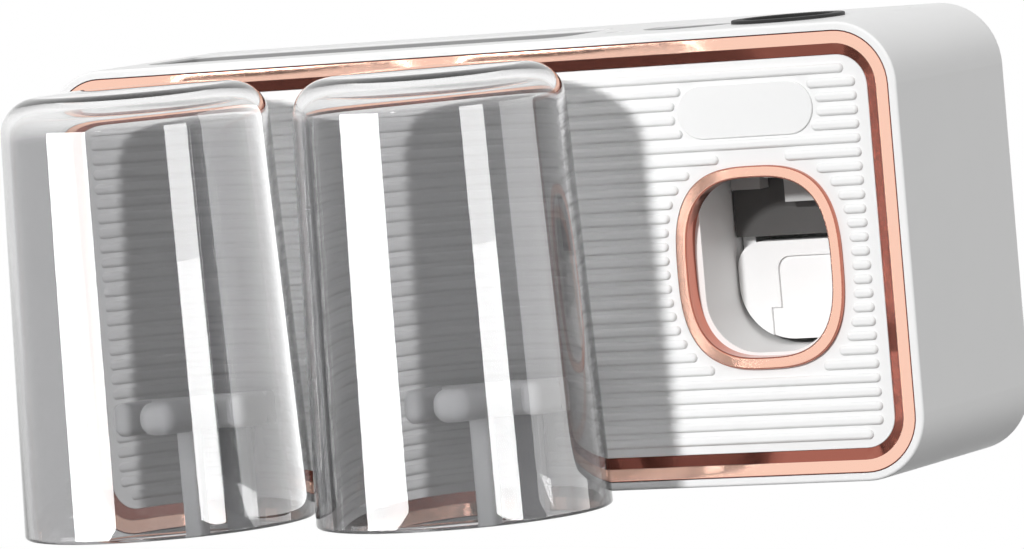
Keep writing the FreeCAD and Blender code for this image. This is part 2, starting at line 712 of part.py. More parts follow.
def lever_arm(x0):
    """One side arm: from behind the face up round the pivot to the crank."""
    y_face = at(LEVER_DEPTH + LEVER_T)
    y_pivot = at(PIVOT_DEPTH)
    y_crank = crank_y()
    points = [V(x0, y_face, LEVER_ARM_LOW), V(x0, y_face, LEVER_TOP - FIT_GAP),
              V(x0, y_pivot - LEVER_BOSS_R, PIVOT_Z), V(x0, y_crank - CRANK_R, PUMP_Z),
              V(x0, y_crank + CRANK_R, PUMP_Z), V(x0, y_pivot + LEVER_BOSS_R, PIVOT_Z),
              V(x0, y_face + LEVER_ARM_W, LEVER_ARM_LOW)]
    web = Part.Face(Part.makePolygon(points + points[:1])).extrude(V(LEVER_ARM_T, 0, 0))
    web = web.fuse(rod_x(y_pivot, PIVOT_Z, LEVER_BOSS_R, x0, x0 + LEVER_ARM_T))
    return web.fuse(rod_x(y_crank, PUMP_Z, CRANK_R, x0, x0 + LEVER_ARM_T))


def crank_y():
    """Y of the crank bar, just behind the end of the piston rod."""
    return at(ROD_END + CRANK_GAP + CRANK_R)


def touch_pad():
    """Stepped hollow in the lever's face, open to its right and lower edges."""
    right = CHAMBER_HALF
    low = CHAMBER_FLOOR
    y = at(LEVER_DEPTH) - CUT
    left = DISP_X + TOUCH_PAD_LEFT
    points = [V(left, y, TOUCH_PAD_TOP), V(DISP_X + right, y, TOUCH_PAD_TOP), V(DISP_X + right, y, low),
              V(left - TOUCH_PAD_NOTCH, y, low), V(left - TOUCH_PAD_NOTCH, y, TOUCH_PAD_STEP),
              V(left, y, TOUCH_PAD_STEP)]
    pad = slab(Part.makePolygon(points + points[:1]), CUT + TOUCH_PAD_SINK)
    corner = [e for e in edges_at_z(pad, TOUCH_PAD_TOP) if e.BoundBox.XMax < left + NEAR]
    return pad.makeFillet(TOUCH_PAD_R, corner)


def lever_block(y0, y1):
    """Block of the lever's face, which follows the chamber with room to swing."""
    return u_block(CHAMBER_HALF - LEVER_SIDE_GAP, CHAMBER_FLOOR + LEVER_BOTTOM_GAP, CHAMBER_FLOOR_R, y0, y1,
                   LEVER_TOP)


def make_push_lever():
    face = lever_block(at(LEVER_DEPTH), at(LEVER_DEPTH + LEVER_T))
    upper = [e for e in edges_at_z(face, LEVER_TOP) if e.BoundBox.YLength > NEAR]
    lever = face.makeFillet(LEVER_CORNER_R, upper)
    lever = lever.cut(touch_pad())
    outer = CHAMBER_HALF - LEVER_SIDE_GAP
    for x0 in (DISP_X - outer, DISP_X + outer - LEVER_ARM_T):
        lever = lever.fuse(lever_arm(x0))
    lever = lever.fuse(rod_x(crank_y(), PUMP_Z, CRANK_R, DISP_X - outer, DISP_X + outer))
    lever = lever.fuse(rod_y(DISP_X, SPRING_Z, SPRING_SEAT_R, at(LEVER_DEPTH + LEVER_T),
                             at(LEVER_DEPTH + LEVER_T + SPRING_SEAT_L)))
    lever = lever.cut(rod_x(at(PIVOT_DEPTH), PIVOT_Z, PIN_R + PIN_GAP, DISP_X - CHAMBER_HALF,
                            DISP_X + CHAMBER_HALF))
    return lever.removeSplitter()


def make_pivot_pins():
    pins = []
    length = CHAMBER_WALL + LEVER_SIDE_GAP + LEVER_ARM_T
    for x0 in (DISP_X - CHAMBER_HALF - CHAMBER_WALL, DISP_X + CHAMBER_HALF + CHAMBER_WALL - length):
        pins.append(rod_x(at(PIVOT_DEPTH), PIVOT_Z, PIN_R, x0, x0 + length))
    return Part.makeCompound(pins)


def biarc(p0, t0, p1, t1):
    """Two tangent arcs from p0 to p1 with the end directions t0 and t1."""
    chord = p1 - p0
    total = t0 + t1
    a = 2 * (1 - t0.dot(t1))
    b = chord.dot(total)
    reach = (-b + math.sqrt(b * b + a * chord.dot(chord))) / a
    joint = (p0 + t0 * reach + p1 - t1 * reach) * 0.5
    return [Part.Arc(p0, arc_middle(p0, t0, joint), joint).toShape(),
            Part.Arc(joint, arc_middle(p1, t1 * -1, joint), p1).toShape()]


def arc_middle(start, direction, end):
    """Middle of the arc that leaves start along a direction and ends at end."""
    chord = end - start
    half = direction.getAngle(chord) / 2
    along = chord * 0.5
    side = direction - chord * (direction.dot(chord) / chord.dot(chord))
    side.normalize()
    return start + along + side * (along.Length * math.tan(half))


def make_return_spring():
    y0 = at(LEVER_DEPTH + LEVER_T) + SPRING_GAP + SPRING_WIRE_R
    y1 = at(CHAMBER_BACK) - SPRING_GAP - SPRING_WIRE_R
    pitch = (y1 - y0) / SPRING_TURNS
    slope = pitch / (2 * math.pi * SPRING_R)
    quarters = 4 * SPRING_TURNS
    places = []
    for i in range(quarters + 1):
        angle = i * math.pi / 2
        point = V(DISP_X + SPRING_R * math.cos(angle), y0 + pitch * i / 4,
                  SPRING_Z + SPRING_R * math.sin(angle))
        heading = V(-math.sin(angle), slope, math.cos(angle))
        heading.normalize()
        places.append((point, heading))
    edges = []
    for (p0, t0), (p1, t1) in zip(places, places[1:]):
        edges += biarc(p0, t0, p1, t1)
    path = Part.Wire(edges)
    start, heading = places[0]
    section = Part.Wire([Part.Circle(start, heading, SPRING_WIRE_R).toShape()])
    print("spring gap between turns", round(pitch - 2 * SPRING_WIRE_R, 2))
    return path.makePipeShell([section], True, False)


def make_cup(x):
    y = FRONT_Y - CUP_REACH
    top = CUP_RIM_Z + CUP_H
    slope = (CUP_RIM_R - CUP_TOP_R) / CUP_H
    outer = Part.makeCone(CUP_RIM_R, CUP_TOP_R, CUP_H, V(x, y, CUP_RIM_Z))
    outer = outer.makeFillet(CUP_SHOULDER_R, edges_at_z(outer, top))
    depth = CUP_H - CUP_BASE
    mouth = CUP_RIM_R - CUP_WALL
    inner = Part.makeCone(mouth, mouth - slope * depth, depth, V(x, y, CUP_RIM_Z))
    inner = inner.makeFillet(CUP_INNER_R, edges_at_z(inner, CUP_RIM_Z + depth))
    cup = outer.cut(inner)
    return cup.makeFillet(CUP_LIP_R, edges_at_z(cup, CUP_RIM_Z))


def cup_inside_back(z):
    """Y of the inside of a cup's back wall at a height above its rim."""
    slope = (CUP_RIM_R - CUP_TOP_R) / CUP_H
    return FRONT_Y - CUP_REACH + CUP_RIM_R - CUP_WALL - slope * (z - CUP_RIM_Z)


def sagitta(half):
    """How far a cup's inside curves away over half a width."""
    r = CUP_TOP_R - CUP_WALL
    return r - math.sqrt(r * r - half * half)


def finger_bar(x0, x1, y0, y1):
    """Bar of a rounded section at the height of the hook's finger, with a round front end."""
    r = ROUND_SHARE * min(x1 - x0, FINGER_H)
    bar = plate(x1 - x0, FINGER_H, r, y0, y1, (x0 + x1) / 2, FINGER_TOP - FINGER_H / 2)
    return bar.makeFillet(END_SHARE * r, edges_at_y(bar, y0))


def rack_bar(x0, x1, y0, y1):
    """Cross bar that carries the prongs, rounded along its length."""
    bar = box(x0, x1, y0, y1, FINGER_TOP - FINGER_H, FINGER_TOP)
    return bar.makeFillet(PRONG_BAR_ROUND, [e for e in bar.Edges if e.BoundBox.XLength > NEAR])


def make_cup_hook(x):
    leg_front = FRONT_Y - CUP_REACH + CUP_RIM_R + HOOK_CUP_GAP
    leg_back = leg_front + HOOK_T
    bar_low = CUP_RIM_Z - HOOK_T
    finger_back = cup_inside_back(FINGER_TOP) - FINGER_BACK_GAP - sagitta(FINGER_W / 2)
    finger_front = finger_back - FINGER_L
    bar_front = finger_front + HOOK_LEG_IN
    hook = box(x - HOOK_W / 2, x + HOOK_W / 2, leg_front, leg_back, bar_low, HOOK_BOSS_Z + HOOK_SHOULDER_R)
    hook = hook.fuse(box(x - HOOK_W / 2, x + HOOK_W / 2, bar_front, leg_back, bar_low, CUP_RIM_Z))
    leg = box(x - HOOK_LEG_W / 2, x + HOOK_LEG_W / 2, bar_front, bar_front + HOOK_LEG_T, bar_low,
              FINGER_TOP - FINGER_H / 2)
    hook = hook.fuse(round_upright(leg, HOOK_LEG_ROUND))
    hook = hook.fuse(finger_bar(x - FINGER_W / 2, x + FINGER_W / 2, finger_front, finger_back))
    outer = FINGER_W / 2 + SLOT_W + PRONG_W
    rack_back = finger_back - sagitta(outer)
    for side in (-1, 1):
        inner_x = x + side * (FINGER_W / 2 + SLOT_W)
        outer_x = x + side * outer
        prong = finger_bar(min(inner_x, outer_x), max(inner_x, outer_x), rack_back - PRONG_L, rack_back)
        hook = hook.fuse(prong)
    hook = hook.fuse(rack_bar(x - outer, x + outer, rack_back - PRONG_BAR_T, rack_back))
    hook = hook.fuse(rod_y(x, HOOK_BOSS_Z, HOOK_SHOULDER_R, leg_back, at(PANEL_RECESS)))
    hook = hook.fuse(rod_y(x, HOOK_BOSS_Z, HOOK_BOSS_R, at(PANEL_RECESS), at(PANEL_BACK)))
    hook = hook.fuse(rod_y(x, HOOK_PEG_Z, HOOK_PEG_R, leg_back, at(PANEL_BACK)))
    hook = hook.cut(rod_y(x, HOOK_BOSS_Z, SCREW_R + SCREW_GAP, at(PANEL_BACK - HOOK_SCREW_BITE),
                          at(PANEL_BACK) + CUT))
    return hook.removeSplitter()


def screw(x, z, y_tip, y_seat, r, head_r, head_t):
    """Pan head screw along Y, with its head on the wall side and a cross recess."""
    sign = 1 if y_seat > y_tip else -1
    low = min(y_tip, y_seat)
    high = max(y_tip, y_seat)
    solid = rod_y(x, z, r, low, high)
    head_low = min(y_seat, y_seat + sign * head_t)
    solid = solid.fuse(rod_y(x, z, head_r, head_low, head_low + head_t))
    arm = head_r * CROSS_ARM
    slot = head_r * CROSS_SLOT
    far = y_seat + sign * head_t
    cross_low = min(far, far - sign * head_t / 2)
    for half_x, half_z in ((arm, slot), (slot, arm)):
        solid = solid.cut(box(x - half_x, x + half_x, cross_low, cross_low + head_t / 2, z - half_z,
                              z + half_z))
    return solid


def make_panel_screws():
    places = four(POST_X, POST_Z)
    return Part.makeCompound([screw(x, z, BACK_IN_Y - PANEL_SCREW_L + CUT, BACK_OUT_Y, SCREW_R, SCREW_HEAD_R,
                                    SCREW_HEAD_T) for x, z in places])


def make_chamber_screws():
    tip = at(PANEL_BACK - SMALL_SCREW_BITE) + FIT_GAP
    return Part.makeCompound([screw(x, z, tip, at(FLANGE_BACK), SMALL_SCREW_R, SMALL_HEAD_R, SMALL_HEAD_T)
                              for x, z in flange_screw_places()])


def make_pump_screws():
    tip = at(FLANGE_BACK + PUMP_SCREW_BITE) - FIT_GAP
    return Part.makeCompound([screw(x, z, tip, at(PANEL_BACK + SMALL_HEAD_T), SMALL_SCREW_R, SMALL_HEAD_R,
                                    SMALL_HEAD_T) for x, z in pump_screw_places()])


def make_hook_screws():
    tip = at(PANEL_BACK - HOOK_SCREW_BITE) + FIT_GAP
    return Part.makeCompound([screw(x, HOOK_BOSS_Z, tip, at(PANEL_BACK), SCREW_R, HOOK_SCREW_HEAD_R,
                                    SCREW_HEAD_T) for x in CUP_XS.values()])


def make_adhesive_pad():
    return plate(PAD_SHEET_W, PAD_SHEET_H, PAD_SHEET_R, -PAD_SHEET_T, 0)


def make_wall_plate():
    front = -PAD_SHEET_T - PLATE_T
    solid = plate(PLATE_W, PLATE_H, PLATE_R, front, -PAD_SHEET_T)
    for x, z in four(PLATE_HOLE_X / 2, PLATE_HOLE_Z / 2):
        solid = solid.cut(rod_y(x, z, PLATE_HOLE_R, front - CUT, -PAD_SHEET_T + CUT))
    lip_back = BACK_IN_Y - CLIP_GAP
    for x, z in four(CLIP_X, CLIP_Z):
        left = x - CLIP_W / 2
        right = x + CLIP_W / 2
        solid = solid.fuse(box(left, right, lip_back - CLIP_LIP_T, front, z - CLIP_STEM, z))
        solid = solid.fuse(box(left, right, lip_back - CLIP_LIP_T, lip_back, z - CLIP_STEM, z + CLIP_LIP))
    return solid.removeSplitter()


def main():
    nodes = {
        "adhesive_pad": make_adhesive_pad(),
        "wall_plate": make_wall_plate(),
        "rear_housing": make_rear_housing(),
        "front_panel": make_front_panel(),
        "trim_ring": make_trim_ring(),
        "oval_bezel": make_oval_bezel(),
        "label_pad": make_label_pad(),
        "top_tray": make_top_tray(),
        "port_collar": make_port_collar(),
        "dispenser_chamber": make_dispenser_chamber(),
        "pump_body": make_pump_body(),
        "nozzle": make_nozzle(),
        "tube_adapter": make_tube_adapter(),
        "inlet_valve": make_inlet_valve(),
        "piston": make_piston(),
        "piston_seal": make_piston_seal(),
        "splash_guard": make_splash_guard(),
        "push_lever": make_push_lever(),
        "pivot_pins": make_pivot_pins(),
        "return_spring": make_return_spring(),
        "panel_screws": make_panel_screws(),
        "chamber_screws": make_chamber_screws(),
        "pump_screws": make_pump_screws(),
        "hook_screws": make_hook_screws(),
    }
    for side, x in CUP_XS.items():
        nodes["cup_" + side] = make_cup(x)
        nodes["cup_hook_" + side] = make_cup_hook(x)
    os.makedirs("parts", exist_ok=True)
    for name, shape in nodes.items():
        print(name, len(shape.Solids), shape.isValid(), round(shape.Volume, 1))
        shape.exportStep("parts/" + name + ".step")


main()
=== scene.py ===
import math

import bmesh
import bpy
from mathutils import Matrix, Vector


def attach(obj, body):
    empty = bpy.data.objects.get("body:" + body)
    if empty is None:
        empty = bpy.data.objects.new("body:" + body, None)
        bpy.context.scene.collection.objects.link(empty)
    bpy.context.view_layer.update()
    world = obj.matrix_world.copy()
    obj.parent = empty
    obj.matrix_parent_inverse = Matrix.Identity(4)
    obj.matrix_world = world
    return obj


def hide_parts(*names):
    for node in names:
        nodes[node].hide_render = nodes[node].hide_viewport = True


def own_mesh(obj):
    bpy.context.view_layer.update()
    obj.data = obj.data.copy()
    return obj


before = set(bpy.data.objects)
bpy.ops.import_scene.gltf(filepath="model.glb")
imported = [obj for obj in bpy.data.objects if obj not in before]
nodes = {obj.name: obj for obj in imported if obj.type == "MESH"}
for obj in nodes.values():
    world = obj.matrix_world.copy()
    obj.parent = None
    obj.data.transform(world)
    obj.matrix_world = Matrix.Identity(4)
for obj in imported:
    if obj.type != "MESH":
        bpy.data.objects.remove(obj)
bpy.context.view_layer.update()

MM = 0.001

# Camera at the photograph's angle
VIEW_YAW = math.radians(27.07)
VIEW_PITCH = math.radians(3.81)
VIEW_ROLL = math.radians(4.98)
VIEW_DISTANCE = 1.8554
VIEW_TARGET = Vector((9.84, -62.5, -1.11)) * MM
VIEW_LENS = 281.3
VIEW_SENSOR = 36.0
VIEW_NEAR = 0.05
VIEW_FAR = 50.0

# Plated trim: how far a face turns from the front before it counts as a slope and takes the painted dark
# reflection
TRIM_FLAT_NORMAL = -0.97
TRIM_SLOPE_NORMAL = -0.93

# Top tray: its surface, and how deep the white edge of a well goes before its painted shade
TRAY_TOP_Z = 52.5 * MM
TRAY_LIP = 0.6 * MM

# Clear cups
CUP_Y = -100.5 * MM
CUP_RIM_Z = -52.6 * MM
CUP_TOP_Z = 49.4 * MM
CUP_RIM_R = 34.0 * MM
CUP_TOP_R = 31.0 * MM
CUP_WALL = 2.0 * MM
CUP_BASE = 2.4 * MM
CUP_SHOULDER = 8.7 * MM
CUP_INNER = 6.6 * MM
CUP_LIGHTENED_BASE = 10.0 * MM
CUP_LIP = 0.8 * MM
CUP_STEPS = 160
CUP_INNER_STEPS = 12
CUP_SHOULDER_STEPS = 16
CUP_LIP_STEPS = 5
CUP_MERGE = 0.001 * MM
CUPS = {"left": -65.0 * MM, "right": 11.9 * MM}

FLOOR_Z = -0.35
FLOOR_HALF = 0.8
FLOOR_SHADE = 0.80
FLOOR_ROUGH = 0.9

# Noise: where its values mostly lie, its scale per metre and its detail
NOISE_LOW = 0.3
NOISE_HIGH = 0.7
MOTTLE = (45, 3)
GLOSS = (160, 4)
METAL_MOTTLE = (60, 2)
WIPES = (400, 4)
WAVES = (90, 2)
TINT = (30, 2)
HAZE = (250, 3)
GRAIN_DETAIL = 2
BUMP_STRENGTH = 0.4

# Soft light of the studio, straight below and straight above
SOFT_BELOW = 0.02
SOFT_ABOVE = 0.58

# Lamps: how far off they stand, and the height of the strips in degrees
LAMP_DISTANCE = 2.0
STRIP_LOW = -12
STRIP_STEP = -1
STRIP_HIGH = 12
CARD_RADIANCE = 5.0


def nodes_of(material):
    material.use_nodes = True
    tree = material.node_tree
    return tree, tree.nodes["Principled BSDF"]


def object_noise(tree, scale, detail):
    """Noise on the piece's own Object coordinates, in metres."""
    place = tree.nodes.new("ShaderNodeTexCoord")
    noise = tree.nodes.new("ShaderNodeTexNoise")
    noise.inputs["Scale"].default_value = scale
    noise.inputs["Detail"].default_value = detail
    tree.links.new(place.outputs["Object"], noise.inputs["Vector"])
    return noise


def spread(tree, source, low, high):
    """Map a noise value to a narrow band."""
    band = tree.nodes.new("ShaderNodeMapRange")
    band.inputs["From Min"].default_value = NOISE_LOW
    band.inputs["From Max"].default_value = NOISE_HIGH
    band.inputs["To Min"].default_value = low
    band.inputs["To Max"].default_value = high
    tree.links.new(source, band.inputs["Value"])
    return band.outputs["Result"]


def band_by_height(tree, low, high):
    """Zero below one height of the piece and one above another."""
    place = tree.nodes.new("ShaderNodeTexCoord")
    split = tree.nodes.new("ShaderNodeSeparateXYZ")
    band = tree.nodes.new("ShaderNodeMapRange")
    band.inputs["From Min"].default_value = low
    band.inputs["From Max"].default_value = high
    tree.links.new(place.outputs["Object"], split.inputs[0])
    tree.links.new(split.outputs["Z"], band.inputs["Value"])
    return band.outputs["Result"]


def two_tone(tree, source, first, second):
    """Blend two shades, each a colour or the result of another blend."""
    blend = tree.nodes.new("ShaderNodeMix")
    blend.data_type = "RGBA"
    for socket, shade in (("A", first), ("B", second)):
        if isinstance(shade, tuple):
            blend.inputs[socket].default_value = (*shade, 1)
        else:
            tree.links.new(shade, blend.inputs[socket])
    tree.links.new(source, blend.inputs["Factor"])
    return blend.outputs["Result"]


def fine_bump(tree, shader, source, depth):
    bump = tree.nodes.new("ShaderNodeBump")
    bump.inputs["Strength"].default_value = BUMP_STRENGTH
    bump.inputs["Distance"].default_value = depth
    tree.links.new(source, bump.inputs["Height"])
    tree.links.new(bump.outputs["Normal"], shader.inputs["Normal"])


def moulded_plastic(name, shades, rough, grain, depth):
    """Moulded plastic: a faint mottle of shade, uneven gloss and a fine grain."""
    material = bpy.data.materials.new(name)
    tree, shader = nodes_of(material)
    mottle = object_noise(tree, *MOTTLE)
    tree.links.new(two_tone(tree, mottle.outputs["Fac"], *shades), shader.inputs["Base Color"])
    gloss = object_noise(tree, *GLOSS)
    tree.links.new(spread(tree, gloss.outputs["Fac"], *rough), shader.inputs["Roughness"])
    fine_bump(tree, shader, object_noise(tree, grain, GRAIN_DETAIL).outputs["Fac"], depth)
    return material


def plated_metal(name, rough, depth):
    """Plated or drawn metal: a mirror with faint waviness and wiping marks, its colour still to be set."""
    material = bpy.data.materials.new(name)
    tree, shader = nodes_of(material)
    shader.inputs["Metallic"].default_value = 1.0
    wipes = object_noise(tree, *WIPES)
    tree.links.new(spread(tree, wipes.outputs["Fac"], *rough), shader.inputs["Roughness"])
    fine_bump(tree, shader, object_noise(tree, *WAVES).outputs["Fac"], depth)
    return material, tree, shader


def drawn_steel(name, shades, rough, depth):
    material, tree, shader = plated_metal(name, rough, depth)
    mottle = object_noise(tree, *METAL_MOTTLE)
    tree.links.new(two_tone(tree, mottle.outputs["Fac"], *shades), shader.inputs["Base Color"])
    return material


def plated_trim_painted_slopes(name, face, bevel, rough, depth):
    """Rose gold plating: its own bright colour on faces to the front; the deeper copper on the slopes and
    walls is a painted dark reflection and shade.
    """
    material, tree, shader = plated_metal(name, rough, depth)
    way = tree.nodes.new("ShaderNodeNewGeometry")
    split = tree.nodes.new("ShaderNodeSeparateXYZ")
    tree.links.new(way.outputs["Normal"], split.inputs[0])
    facing = tree.nodes.new("ShaderNodeMapRange")
    facing.inputs["From Min"].default_value = TRIM_FLAT_NORMAL
    facing.inputs["From Max"].default_value = TRIM_SLOPE_NORMAL
    tree.links.new(split.outputs["Y"], facing.inputs["Value"])
    # The second colour, on slopes and walls, is painted dark reflection and shade.
    tree.links.new(two_tone(tree, facing.outputs["Result"], face, bevel), shader.inputs["Base Color"])
    return material


def tray_painted_well_shade(name, shades, painted_well_shade, rough, grain, depth):
    """White top plate whose wells go grey below the surface, a painted shade inside the wells."""
    material = moulded_plastic(name, shades, rough, grain, depth)
    tree, shader = nodes_of(material)
    plain = shader.inputs["Base Color"].links[0].from_socket
    # Below the lip the wells take the painted shade.
    height = band_by_height(tree, TRAY_TOP_Z - TRAY_LIP, TRAY_TOP_Z - TRAY_LIP / 2)
    tree.links.new(two_tone(tree, height, painted_well_shade, plain), shader.inputs["Base Color"])
    return material


def clear_plastic(name, walls, top, haze_high, ior):
    """Clear cup plastic: faintly grey, nearly untinted near the base as a painted lightening of that end,
    with a little haze in its gloss.
    """
    material = bpy.data.materials.new(name)
    tree, shader = nodes_of(material)
    shader.inputs["Transmission Weight"].default_value = 1.0
    shader.inputs["IOR"].default_value = ior
    tint = object_noise(tree, *TINT)
    wall = two_tone(tree, tint.outputs["Fac"], *walls)
    # Near the closed end the grey gives way to nearly clear: a painted lightening of that end.
    height = band_by_height(tree, CUP_TOP_Z - CUP_LIGHTENED_BASE, CUP_TOP_Z - CUP_SHOULDER / 2)
    tree.links.new(two_tone(tree, height, wall, top), shader.inputs["Base Color"])
    haze = object_noise(tree, *HAZE)
    tree.links.new(spread(tree, haze.outputs["Fac"], 0.0, haze_high), shader.inputs["Roughness"])
    return material


# Plastics and rubbers: two shades, roughness from and to, grain per metre, depth of the grain in metres
WHITE = ((0.86, 0.86, 0.86), (0.88, 0.88, 0.875))
PLASTICS = {
    "shell_white": (WHITE, (0.28, 0.36), 1800, 4e-6),
    "panel_white": (WHITE, (0.34, 0.42), 2200, 4e-6),
    "pump_white": (((0.80, 0.80, 0.79), (0.83, 0.83, 0.82)), (0.35, 0.45), 1500, 6e-6),
    "chamber_white": (((0.92, 0.92, 0.915), (0.94, 0.94, 0.935)), (0.35, 0.45), 1500, 6e-6),
    "hook_grey": (((0.52, 0.52, 0.525), (0.56, 0.56, 0.565)), (0.30, 0.40), 1500, 5e-6),
    # lug_grey_painted_shade: the pump body is given this darker grey as painted shade for its lugs, which
    # sit in shade.
    "lug_grey_painted_shade": (((0.46, 0.46, 0.455), (0.49, 0.49, 0.485)), (0.4, 0.5), 1500, 6e-6),
    "guard_dark": (((0.075, 0.073, 0.072), (0.09, 0.088, 0.086)), (0.5, 0.62), 1200, 1e-5),
    "collar_black": (((0.012, 0.012, 0.012), (0.02, 0.02, 0.02)), (0.55, 0.7), 900, 1.2e-5),
    "seat_silicone": (((0.74, 0.74, 0.72), (0.80, 0.80, 0.78)), (0.5, 0.6), 900, 1e-5),
    "foam_sheet": (((0.66, 0.70, 0.70), (0.74, 0.77, 0.77)), (0.6, 0.8), 700, 4e-5),
}
finish = {name: moulded_plastic(name, *look) for name, look in PLASTICS.items()}
# The (0.30, 0.30, 0.30) grey in the wells is painted shade.
finish["tray_white_painted_well_shade"] = tray_painted_well_shade("tray_white_painted_well_shade", WHITE, (0.30, 0.30, 0.30), (0.28, 0.36), 1800, 4e-6)
# Each trim's second colour is painted dark reflection and shade on its slopes and walls.
finish["rose_gold"] = plated_trim_painted_slopes("rose_gold", (0.97, 0.61, 0.48), (0.33, 0.085, 0.06), (0.07, 0.12), 2e-6)
finish["bezel_gold"] = plated_trim_painted_slopes("bezel_gold", (0.97, 0.59, 0.46), (0.55, 0.20, 0.14), (0.10, 0.16), 2e-6)
STEEL = ((0.60, 0.60, 0.61), (0.66, 0.66, 0.67))
finish["screw_steel"] = drawn_steel("screw_steel", STEEL, (0.22, 0.34), 6e-6)
CUP_TINTS = ((0.60, 0.60, 0.605), (0.64, 0.64, 0.645))
# (0.96, 0.96, 0.96) is the painted lightening of the cups' closed ends.
finish["cup_clear"] = clear_plastic("cup_clear", CUP_TINTS, (0.96, 0.96, 0.96), 0.02, 1.5)

# Which pieces take which finish
WEARS = {
    "shell_white": ("rear_housing", "push_lever"),
    "panel_white": ("front_panel", "label_pad"),
    "pump_white": ("wall_plate", "piston"),
    "chamber_white": ("dispenser_chamber",),
    "hook_grey": ("cup_hook_left", "cup_hook_right"),
    "lug_grey_painted_shade": ("pump_body",),
    "guard_dark": ("splash_guard",),
    "collar_black": ("port_collar", "piston_seal"),
    "seat_silicone": ("nozzle", "tube_adapter", "inlet_valve"),
    "foam_sheet": ("adhesive_pad",),
    "tray_white_painted_well_shade": ("top_tray",),
    "rose_gold": ("trim_ring",),
    "bezel_gold": ("oval_bezel",),
    "screw_steel": ("pivot_pins", "return_spring", "panel_screws", "chamber_screws", "pump_screws",
                    "hook_screws"),
    "cup_clear": ("cup_left", "cup_right"),
}
for wear, names in WEARS.items():
    for name in names:
        mesh = nodes[name].data
        mesh.materials.clear()
        mesh.materials.append(finish[wear])


def new_piece(name, mesh_maker, material, body, stands_for):
    """Turn a finished bmesh into a piece that rides on a body."""
    mesh = bpy.data.meshes.new(name)
    mesh_maker.to_mesh(mesh)
    mesh_maker.free()
    for face in mesh.polygons:
        face.use_smooth = True
    mesh.materials.append(material)
    piece = bpy.data.objects.new(name, mesh)
    bpy.context.scene.collection.objects.link(piece)
    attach(piece, body)
    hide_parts(stands_for)
    return piece


def profile_edge(maker, points):
    """Join points by edges, in order."""
    made = [maker.verts.new(p) for p in points]
    return made, [maker.edges.new(pair) for pair in zip(made, made[1:])]


def turned_cup(x):
    """Cup wall as one closed profile, its corners rounded and then spun about the cup's axis."""
    maker = bmesh.new()
    axis = Vector((x, CUP_Y, 0))
    slope = (CUP_RIM_R - CUP_TOP_R) / (CUP_TOP_Z - CUP_RIM_Z)
    inside_top = CUP_TOP_Z - CUP_BASE
    inside_r = CUP_RIM_R - CUP_WALL - slope * (inside_top - CUP_RIM_Z)
    outline = [(0, inside_top), (inside_r, inside_top), (CUP_RIM_R - CUP_WALL, CUP_RIM_Z),
               (CUP_RIM_R, CUP_RIM_Z), (CUP_TOP_R, CUP_TOP_Z), (0, CUP_TOP_Z)]
    made, edges = profile_edge(maker, [axis + Vector((r, 0, z)) for r, z in outline])
    for vert, r, steps in ((made[1], CUP_INNER, CUP_INNER_STEPS),
                           (made[4], CUP_SHOULDER, CUP_SHOULDER_STEPS)):
        bmesh.ops.bevel(maker, geom=[vert], offset=round_back(vert, r), offset_type="OFFSET", segments=steps,
                        profile=0.5, affect="VERTICES", material=-1)
    for vert in (made[2], made[3]):
        bmesh.ops.bevel(maker, geom=[vert], offset=CUP_LIP, offset_type="OFFSET", segments=CUP_LIP_STEPS,
                        profile=0.5, affect="VERTICES", material=-1)
    bmesh.ops.spin(maker, geom=list(maker.verts) + list(maker.edges), cent=axis, axis=(0, 0, 1),
                   angle=2 * math.pi, steps=CUP_STEPS, use_merge=True)
    bmesh.ops.remove_doubles(maker, verts=maker.verts, dist=CUP_MERGE)
    bmesh.ops.recalc_face_normals(maker, faces=maker.faces)
    return maker


def round_back(vert, r):
    """Distance from a profile's corner to where a rounding of that radius starts."""
    ways = [(e.other_vert(vert).co - vert.co).normalized() for e in vert.link_edges]
    return r / math.tan(ways[0].angle(ways[1]) / 2)


for side, x in CUPS.items():
    new_piece("cup_" + side + "_clear", turned_cup(x), finish["cup_clear"], side + "_cup", "cup_" + side)


def squeezed_spring():
    """The coil, copied into a piece of its own that rides on the body."""
    maker = bmesh.new()
    maker.from_mesh(nodes["return_spring"].data)
    coil = new_piece("return_spring_coil", maker, finish["screw_steel"], "body", "return_spring")
    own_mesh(coil)


squeezed_spring()


def pale_floor():
    maker = bmesh.new()
    bmesh.ops.create_grid(maker, x_segments=1, y_segments=1, size=FLOOR_HALF,
                          matrix=Matrix.Translation((0, 0, FLOOR_Z)))
    mesh = bpy.data.meshes.new("floor")
    maker.to_mesh(mesh)
    maker.free()
    material = bpy.data.materials.new("floor_pale")
    tree, shader = nodes_of(material)
    shader.inputs["Base Color"].default_value = (FLOOR_SHADE, FLOOR_SHADE, FLOOR_SHADE, 1)
    shader.inputs["Roughness"].default_value = FLOOR_ROUGH
    shader.inputs["Specular IOR Level"].default_value = 0.0
    side = tree.nodes.new("ShaderNodeNewGeometry")
    clear = tree.nodes.new("ShaderNodeBsdfTransparent")
    mix = tree.nodes.new("ShaderNodeMixShader")
    tree.links.new(side.outputs["Backfacing"], mix.inputs["Fac"])
    tree.links.new(shader.outputs["BSDF"], mix.inputs[1])
    tree.links.new(clear.outputs["BSDF"], mix.inputs[2])
    tree.links.new(mix.outputs["Shader"], tree.nodes["Material Output"].inputs["Surface"])
    mesh.materials.append(material)
    floor = bpy.data.objects.new("floor", mesh)
    bpy.context.scene.collection.objects.link(floor)
    floor.visible_diffuse = False


def studio_way(azimuth, elevation):
    """Direction from the object to a place in the studio; azimuth 0 is in front, positive to the right."""
    a = math.radians(azimuth)
    e = math.radians(elevation)
    return Vector((math.sin(a) * math.cos(e), -math.cos(a) * math.cos(e), math.sin(e)))


